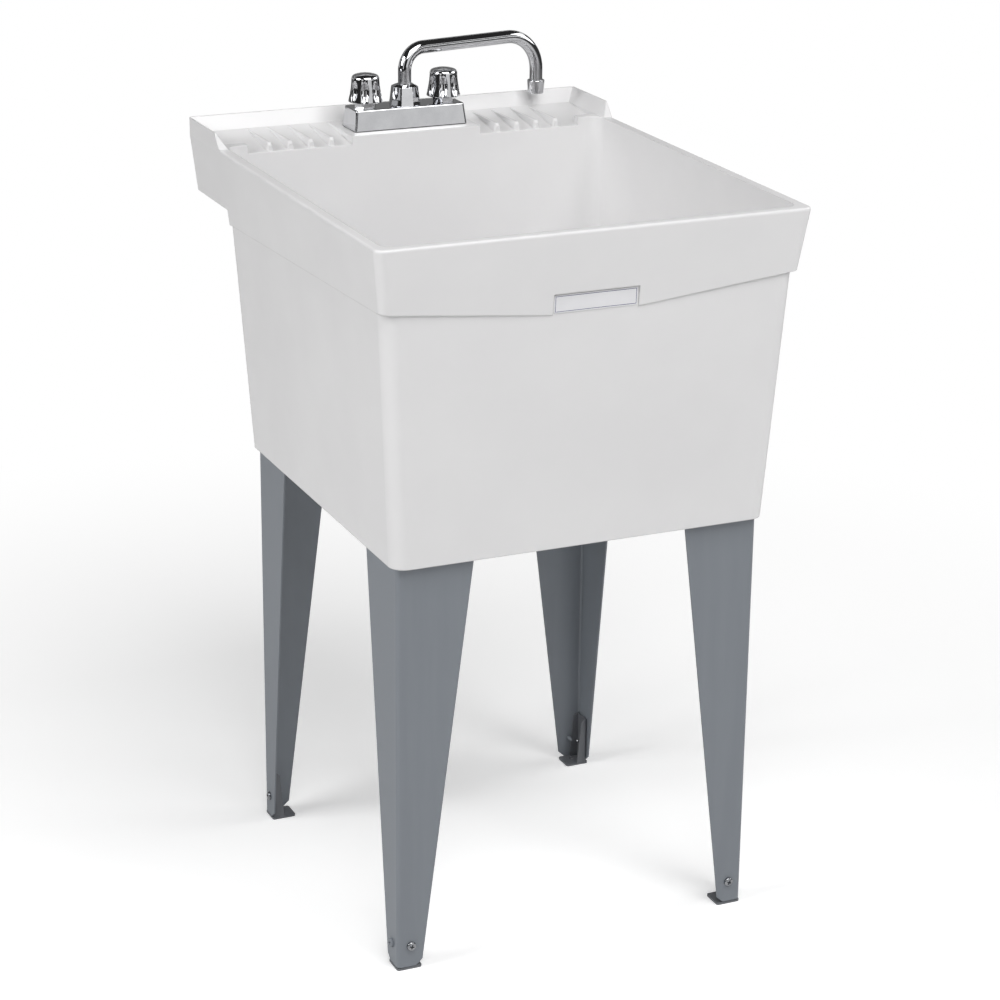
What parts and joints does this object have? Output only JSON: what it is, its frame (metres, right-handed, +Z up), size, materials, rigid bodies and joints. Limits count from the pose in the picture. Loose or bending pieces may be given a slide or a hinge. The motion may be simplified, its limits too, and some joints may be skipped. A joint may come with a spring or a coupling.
{
  "type": "utility laundry sink",
  "caption": "Floor-standing moulded laundry tub on folded steel legs, with a ribbed draining deck, a faucet with fluted knobs and a swinging spout, and a drain in its floor.",
  "frame": {"origin": "on the floor, under the middle of the tub's outline", "axes": "+Z up, +Y to the wall behind the deck, +X to the user's right"},
  "size_m": [0.508, 0.61, 0.948],
  "materials": {
    "plastic": "fine satin moulding",
    "plate": "smooth, bare",
    "leg_steel": "grey satin paint",
    "zinc": "bright zinc plating",
    "drain_metal": "polished stainless steel",
    "black_rubber": "moulded rubber",
    "fibre": "plain fibre",
    "white_plastic": "moulded",
    "chrome": "bright chrome plating",
    "brass": "as cast and turned",
    "cap_plastic": "smooth, bare"
  },
  "bodies": {
    "stand": {"tub": "plastic", "front_plate": "plate", "leg_fl": "leg_steel", "leg_fr": "leg_steel", "leg_bl": "leg_steel", "leg_br": "leg_steel", "foot_screws": "zinc", "drain_body": "drain_metal", "drain_gasket": "black_rubber", "drain_friction_ring": "fibre", "drain_locknut": "drain_metal", "tailpiece_washer": "black_rubber", "slip_nut": "white_plastic", "tailpiece": "white_plastic", "faucet_cover": "chrome", "base_gasket": "black_rubber", "faucet_body": "brass", "shank_washers": "white_plastic", "shank_nuts": "brass", "spout_nut": "chrome", "hot_seat": "black_rubber", "hot_bonnet": "chrome", "hot_stem_seal": "black_rubber", "cold_seat": "black_rubber", "cold_bonnet": "chrome", "cold_stem_seal": "black_rubber"},
    "spout_body": {"spout": "chrome", "spout_seal": "black_rubber", "aerator_housing": "chrome", "aerator_washer": "black_rubber", "aerator_screen": "white_plastic"},
    "hot_handle": {"hot_stem": "brass", "hot_knob": "chrome", "hot_knob_screw": "zinc", "hot_cap": "cap_plastic"},
    "cold_handle": {"cold_stem": "brass", "cold_knob": "chrome", "cold_knob_screw": "zinc", "cold_cap": "cap_plastic"},
    "stopper_body": {"stopper": "black_rubber"},
    "ring_body": {"stopper_ring": "drain_metal"},
    "foot_fl_body": {"foot_fl": "zinc"},
    "foot_fr_body": {"foot_fr": "zinc"},
    "foot_bl_body": {"foot_bl": "zinc"},
    "foot_br_body": {"foot_br": "zinc"}
  },
  "joints": [
    {"name": "spout_swing", "type": "hinge", "parent": "stand", "child": "spout_body", "pos_m": [0, 0.245, 0.94], "axis": [0, 0, 1], "continuous": true},
    {"name": "hot_turn", "type": "hinge", "parent": "stand", "child": "hot_handle", "pos_m": [-0.0508, 0.245, 0.89], "axis": [0, 0, 1], "range_deg": [0, 90]},
    {"name": "cold_turn", "type": "hinge", "parent": "stand", "child": "cold_handle", "pos_m": [0.0508, 0.245, 0.89], "axis": [0, 0, -1], "range_deg": [0, 90]},
    {"name": "stopper_lift", "type": "slide", "parent": "stand", "child": "stopper_body", "axis": [0, 0, 1], "range_m": [0, 0.12]},
    {"name": "ring_tip", "type": "hinge", "parent": "stopper_body", "child": "ring_body", "pos_m": [0, -0.04687, 0.5303], "axis": [0, -1, 0], "range_deg": [0, 209]},
    {"name": "foot_fl_level", "type": "slide", "parent": "stand", "child": "foot_fl_body", "axis": [0, 0, -1], "range_m": [0, 0.015]},
    {"name": "foot_fr_level", "type": "slide", "parent": "stand", "child": "foot_fr_body", "axis": [0, 0, -1], "range_m": [0, 0.015]},
    {"name": "foot_bl_level", "type": "slide", "parent": "stand", "child": "foot_bl_body", "axis": [0, 0, -1], "range_m": [0, 0.015]},
    {"name": "foot_br_level", "type": "slide", "parent": "stand", "child": "foot_br_body", "axis": [0, 0, -1], "range_m": [0, 0.015]}
  ]
}
